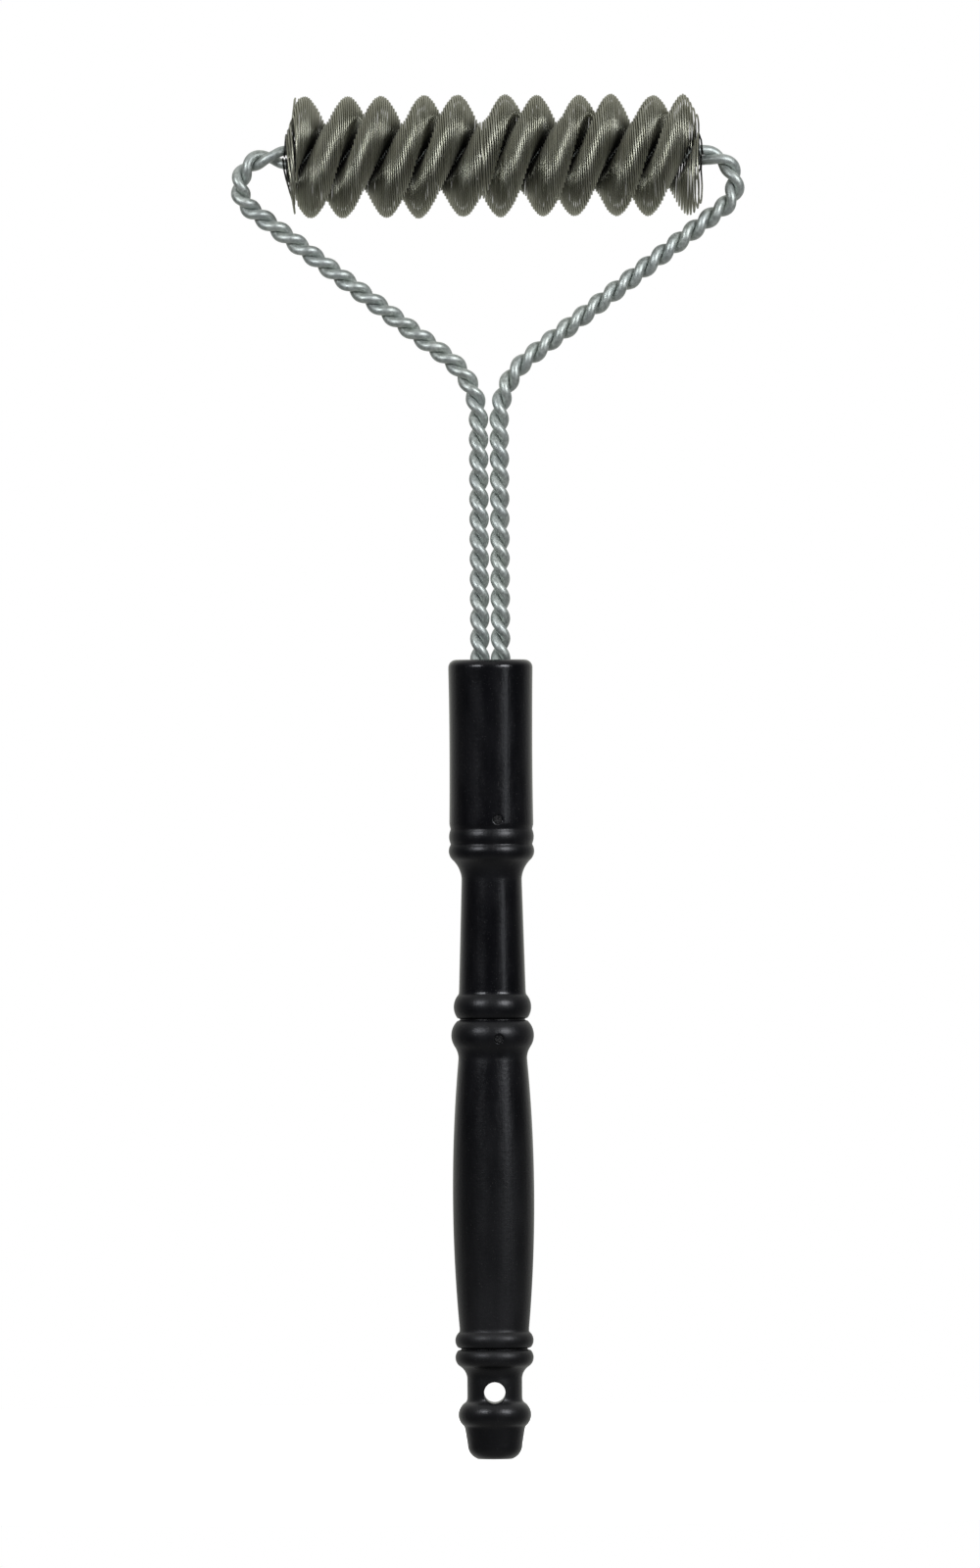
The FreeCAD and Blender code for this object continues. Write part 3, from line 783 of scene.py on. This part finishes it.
def lacquered_wood():
    """Black lacquer over turned wood: fine grain, orange peel, dust, and a worn grip whose colour is
    also painted lighter as painted light.
    """
    nodes = Nodes("black_lacquered_wood")
    place = nodes.add("ShaderNodeTexCoord").outputs["Object"]
    split = nodes.add("ShaderNodeSeparateXYZ")
    nodes.link(place, split.inputs[0])
    height = split.outputs["Z"]
    # the grip is duller from handling than the barrel. Its colour is also lighter towards the butt,
    # partly from wear and partly as painted light for the softer light on the lower handle
    worn_and_painted_light = nodes.ramp(height, 0.135, 0.02, 0.0, 1.0)
    blotch = nodes.noise(nodes.stretched(place, (1, 1, 0.35)), 130.0, 3.0, 0.6)
    grain = nodes.noise(nodes.stretched(place, (1, 1, 0.05)), 1500.0, 4.0, 0.6)
    peel = nodes.noise(place, 900.0, 2.0, 0.5)
    rings = nodes.noise(nodes.stretched(place, (0.04, 0.04, 1)), 1800.0, 2.0, 0.5)
    dust = nodes.noise(place, 2600.0, 1.0, 0.4)
    specks = nodes.ramp(dust, 0.70, 0.76, 0.0, 1.0)
    blotched = nodes.ramp(blotch, 0.35, 0.7, 0.0, 1.0)
    base = nodes.mix(blotched, (0.0038, 0.0039, 0.0048), (0.0072, 0.0073, 0.0084))
    # painted light and wear: the colour is lighter towards the grip and the butt
    base = nodes.mix(nodes.calc("MULTIPLY", worn_and_painted_light, 0.45), base, (0.015, 0.015, 0.0152))
    base = nodes.mix(nodes.calc("MULTIPLY", specks, 0.16), base, (0.16, 0.155, 0.145))
    nodes.link(base, nodes.shader.inputs["Base Color"])
    # the butt has kept more of its gloss than the grip
    handled = nodes.calc("MULTIPLY", worn_and_painted_light, nodes.ramp(height, 0.014, 0.036, 0.40, 1.0))
    # the lacquer levelled less on the beads above and below the neck
    below_barrel = nodes.ramp(height, 0.190, 0.187, 0.0, 1.0)
    above_grip = nodes.ramp(height, 0.117, 0.121, 0.0, 1.0)
    below_cove = nodes.ramp(height, 0.174, 0.171, 0.0, 1.0)
    above_bead = nodes.ramp(height, 0.136, 0.140, 0.0, 1.0)
    neck = nodes.calc("MULTIPLY", below_cove, above_bead)
    beads = nodes.calc("SUBTRACT", nodes.calc("MULTIPLY", below_barrel, above_grip), neck)
    rough = nodes.ramp(blotch, 0.3, 0.7, 0.18, 0.26)
    rough = nodes.calc("ADD", rough, nodes.calc("MULTIPLY", handled, 0.24))
    rough = nodes.calc("ADD", rough, nodes.calc("MULTIPLY", beads, 0.14))
    nodes.link(rough, nodes.shader.inputs["Roughness"])
    nodes.put("IOR", 1.39)
    first = nodes.bump(peel, 0.10, 0.0004)
    second = nodes.bump(grain, 0.16, 0.00025, first)
    third = nodes.bump(rings, 0.05, 0.0002, second)
    nodes.link(third, nodes.shader.inputs["Normal"])
    return nodes.material


def galvanised_wire():
    """Zinc-coated wire: mottled and patchy, with darker streaks from drawing along it."""
    nodes = Nodes("galvanised_wire")
    place = nodes.add("ShaderNodeTexCoord").outputs["Object"]
    along = nodes.add("ShaderNodeUVMap")
    along.uv_map = "Along"
    streaks = nodes.noise(nodes.stretched(along.outputs["UV"], (14, 0.9, 1)), 3.0, 3.0, 0.6)
    mottle = nodes.noise(place, 900.0, 3.0, 0.55)
    patchy = nodes.noise(place, 160.0, 2.0, 0.5)
    mottled = nodes.ramp(mottle, 0.3, 0.7, 0.0, 1.0)
    base = nodes.mix(mottled, (0.385, 0.42, 0.382), (0.60, 0.64, 0.592))
    base = nodes.mix(nodes.ramp(patchy, 0.35, 0.7, 0.0, 0.5), base, (0.42, 0.46, 0.45))
    base = nodes.mix(nodes.ramp(streaks, 0.52, 0.68, 0.0, 0.6), base, (0.22, 0.245, 0.225))
    nodes.link(base, nodes.shader.inputs["Base Color"])
    nodes.put("Metallic", 0.7)
    nodes.link(nodes.ramp(mottle, 0.25, 0.75, 0.40, 0.54), nodes.shader.inputs["Roughness"])
    first = nodes.bump(streaks, 0.20, 0.0002)
    second = nodes.bump(mottle, 0.12, 0.0002, first)
    nodes.link(second, nodes.shader.inputs["Normal"])
    return nodes.material


def stainless_coil():
    """Fine stainless wire, dull and rough, whose colour changes along its length, with painted shade
    darkening it deep between the lobes.
    """
    nodes = Nodes("stainless_coil")
    place = nodes.add("ShaderNodeTexCoord").outputs["Object"]
    along = nodes.add("ShaderNodeUVMap")
    along.uv_map = "Along"
    lengths = nodes.noise(nodes.stretched(along.outputs["UV"], (0.3, 0.35, 1)), 2.0, 3.0, 0.6)
    cloudy = nodes.noise(place, 120.0, 2.0, 0.5)
    changing = nodes.ramp(lengths, 0.3, 0.7, 0.0, 1.0)
    base = nodes.mix(changing, (0.32, 0.322, 0.243), (0.46, 0.462, 0.378))
    base = nodes.mix(nodes.ramp(cloudy, 0.4, 0.75, 0.0, 0.4), base, (0.25, 0.24, 0.185))
    # painted shade: the wire's colour is darkened deep between the lobes, near the head's axis,
    # where shade falls
    from_axis = nodes.add("ShaderNodeVectorMath")
    from_axis.operation = "MULTIPLY_ADD"
    from_axis.inputs[1].default_value = (0, 1, 1)
    from_axis.inputs[2].default_value = (0, 0, -HEAD_HEIGHT * MM)
    nodes.link(place, from_axis.inputs[0])
    depth = nodes.add("ShaderNodeVectorMath")
    depth.operation = "LENGTH"
    nodes.link(from_axis.outputs["Vector"], depth.inputs[0])
    # the share of the wire that lies outside the painted shade, found from its distance to the
    # head's axis
    out_of_painted_shade = nodes.ramp(depth.outputs["Value"], 0.0058, 0.0136, 0.0, 1.0)
    base = nodes.mix(out_of_painted_shade, (0.030, 0.030, 0.026), base)
    nodes.link(base, nodes.shader.inputs["Base Color"])
    nodes.put("Metallic", 1.0)
    nodes.link(nodes.ramp(lengths, 0.3, 0.7, 0.37, 0.45), nodes.shader.inputs["Roughness"])
    return nodes.material


def lacquered_nail():
    """A nail head under the handle's lacquer."""
    nodes = Nodes("nail_steel")
    place = nodes.add("ShaderNodeTexCoord").outputs["Object"]
    mottle = nodes.noise(place, 2500.0, 3.0, 0.55)
    mottled = nodes.ramp(mottle, 0.35, 0.7, 0.0, 1.0)
    base = nodes.mix(mottled, (0.003, 0.003, 0.0035), (0.010, 0.0095, 0.0090))
    nodes.link(base, nodes.shader.inputs["Base Color"])
    nodes.link(nodes.ramp(mottle, 0.3, 0.7, 0.22, 0.36), nodes.shader.inputs["Roughness"])
    nodes.link(nodes.bump(mottle, 0.3, 0.0002), nodes.shader.inputs["Normal"])
    return nodes.material


# ---------------------------------------------------------------- the pieces
WOOD = lacquered_wood()
GALVANISED = galvanised_wire()
COIL_STEEL = stainless_coil()
NAIL = lacquered_nail()


def finish_piece(made, material, node):
    """Give a piece its material and body, and let it stand for its CAD node."""
    made.data.materials.append(material)
    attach(made, ROOT)
    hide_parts(node)


finish_piece(make_handle(), WOOD, "handle")
finish_piece(frame_wire("frame_wire_a", 0.0), GALVANISED, "core_wire_a")
finish_piece(frame_wire("frame_wire_b", math.pi), GALVANISED, "core_wire_b")
coil_left = coil(
    "coil_left",
    start=-59.2,
    end=-1.75,
    seed=11,
    lean=13.4,
    lag=(-2.7, -4.5),
    left_loose=(6, 1.6, 3.4, 0.0, 54),
    right_loose=(6, 0.1, -0.3, -0.02, 0),
)
finish_piece(coil_left, COIL_STEEL, "left_coil")
coil_right = coil(
    "coil_right",
    start=-1.1,
    end=61.2,
    seed=23,
    lean=13.7,
    lag=(-29.4, 1.9),
    left_loose=(4, 0.1, -0.15, 0.0, 0),
    right_loose=(9, 2.9, 1.7, -0.035, 0),
)
finish_piece(coil_right, COIL_STEEL, "right_coil")
for nail in ("upper_nail", "lower_nail"):
    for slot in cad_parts[nail].material_slots:
        slot.material = NAIL


# ---------------------------------------------------------------- studio
FLOOR_RADIUS = 0.5
FLOOR_HEIGHT = -0.0002
SOFTBOX_TARGET = Vector((0, 0, 0.24))
# how bright the world is, from behind the camera to behind the object
WORLD_FRONT = (0.010, 0.010, 0.012, 1)
WORLD_BACK = (0.70, 0.71, 0.66, 1)
WORLD_DEPTHS = ((0.38, 0.016), (0.60, 0.09), (0.78, 0.42))
# from where the pale ceiling and table start, where they are full, and how bright
CEILING = (0.35, 0.95, 0.55)
TABLE = (-0.30, -0.90, 0.22)
CAMERA_LENS = 440.0
CAMERA_PLACE = (-0.00032, -5.7, 0.2007)
CAMERA_ROLL = math.radians(0.35)


def plain_floor():
    """A white floor that is seen but neither lights the object nor shows in it."""
    bpy.ops.mesh.primitive_circle_add(
        vertices=128, radius=FLOOR_RADIUS, fill_type="NGON", location=(0, 0, FLOOR_HEIGHT)
    )
    floor = bpy.context.object
    floor.name = "floor"
    nodes = Nodes("white_floor")
    nodes.put("Base Color", (0.9, 0.9, 0.9, 1))
    nodes.put("Roughness", 0.9)
    nodes.put("Emission Color", (1, 1, 1, 1))
    nodes.put("Emission Strength", 1.0)
    floor.data.materials.append(nodes.material)
    floor.visible_diffuse = False
    floor.visible_glossy = False


def studio_world():
    """White to look at, and a soft room to be lit by and to reflect."""
    world = bpy.data.worlds.new("studio")
    bpy.context.scene.world = world
    world.use_nodes = True
    tree = world.node_tree
    tree.nodes.clear()

    def add(kind):
        return tree.nodes.new(kind)

    output = add("ShaderNodeOutputWorld")
    seen = add("ShaderNodeBackground")
    seen.inputs["Color"].default_value = (1, 1, 1, 1)
    seen.inputs["Strength"].default_value = 1.0
    lit = add("ShaderNodeBackground")
    direction = add("ShaderNodeTexCoord")
    split = add("ShaderNodeSeparateXYZ")
    tree.links.new(direction.outputs["Generated"], split.inputs[0])
    # dark behind the camera, white behind the object
    depth = add("ShaderNodeValToRGB")
    shift = add("ShaderNodeMapRange")
    shift.inputs["From Min"].default_value = -1
    shift.inputs["From Max"].default_value = 1
    tree.links.new(split.outputs["Y"], shift.inputs["Value"])
    tree.links.new(shift.outputs["Result"], depth.inputs["Fac"])
    ramp = depth.color_ramp
    ramp.elements[0].position = 0.0
    ramp.elements[0].color = WORLD_FRONT
    ramp.elements[1].position = 1.0
    ramp.elements[1].color = WORLD_BACK
    for position, value in WORLD_DEPTHS:
        element = ramp.elements.new(position)
        element.color = (value, value, value * 0.99, 1)
    # and a pale ceiling and table
    both = add("ShaderNodeMath")
    for number, (start, end, brightness) in enumerate((CEILING, TABLE)):
        band = add("ShaderNodeMapRange")
        band.interpolation_type = "SMOOTHSTEP"
        band.inputs["From Min"].default_value = start
        band.inputs["From Max"].default_value = end
        band.inputs["To Max"].default_value = brightness
        tree.links.new(split.outputs["Z"], band.inputs["Value"])
        tree.links.new(band.outputs["Result"], both.inputs[number])
    total = add("ShaderNodeMix")
    total.data_type = "RGBA"
    total.blend_type = "ADD"
    total.inputs[0].default_value = 1.0
    tree.links.new(depth.outputs["Color"], total.inputs[6])
    tree.links.new(both.outputs[0], total.inputs[7])
    tree.links.new(total.outputs[2], lit.inputs["Color"])
    path = add("ShaderNodeLightPath")
    mix = add("ShaderNodeMixShader")
    tree.links.new(path.outputs["Is Camera Ray"], mix.inputs["Fac"])
    tree.links.new(lit.outputs["Background"], mix.inputs[1])
    tree.links.new(seen.outputs["Background"], mix.inputs[2])
    tree.links.new(mix.outputs["Shader"], output.inputs["Surface"])


def softbox(name, azimuth, elevation, distance, width, height, power, colour):
    """A soft light aimed at the object. Azimuth 0 is the camera's side, positive right."""
    a, e = math.radians(azimuth), math.radians(elevation)
    away = Vector((math.sin(a) * math.cos(e), -math.cos(a) * math.cos(e), math.sin(e)))
    data = bpy.data.lights.new(name, "AREA")
    data.shape = "RECTANGLE"
    data.size = width
    data.size_y = height
    data.energy = power
    data.color = colour
    light = bpy.data.objects.new(name, data)
    light.location = SOFTBOX_TARGET + away * distance
    light.rotation_mode = "QUATERNION"
    light.rotation_quaternion = (-away).to_track_quat("-Z", "Y")
    bpy.context.scene.collection.objects.link(light)


def camera():
    """A long lens far away and level with the middle of the brush."""
    data = bpy.data.cameras.new("camera")
    data.lens = CAMERA_LENS
    data.sensor_width = 36.0
    data.clip_start = 0.1
    data.clip_end = 20.0
    made = bpy.data.objects.new("camera", data)
    made.location = CAMERA_PLACE
    made.rotation_euler = (math.pi / 2, CAMERA_ROLL, 0.0)
    bpy.context.scene.collection.objects.link(made)
    bpy.context.scene.camera = made


plain_floor()
studio_world()
softbox(
    "softbox_right",
    azimuth=39,
    elevation=20,
    distance=1.3,
    width=0.54,
    height=0.42,
    power=11.4,
    colour=(0.93, 0.945, 1.0),
)
softbox(
    "softbox_left",
    azimuth=-39,
    elevation=22,
    distance=1.3,
    width=0.50,
    height=0.38,
    power=8.3,
    colour=(0.92, 0.94, 1.0),
)
softbox(
    "panel_right",
    azimuth=42,
    elevation=-1,
    distance=1.5,
    width=0.26,
    height=0.28,
    power=0.5,
    colour=(0.90, 0.94, 1.0),
)
camera()
bpy.context.scene.view_settings.view_transform = "Standard"
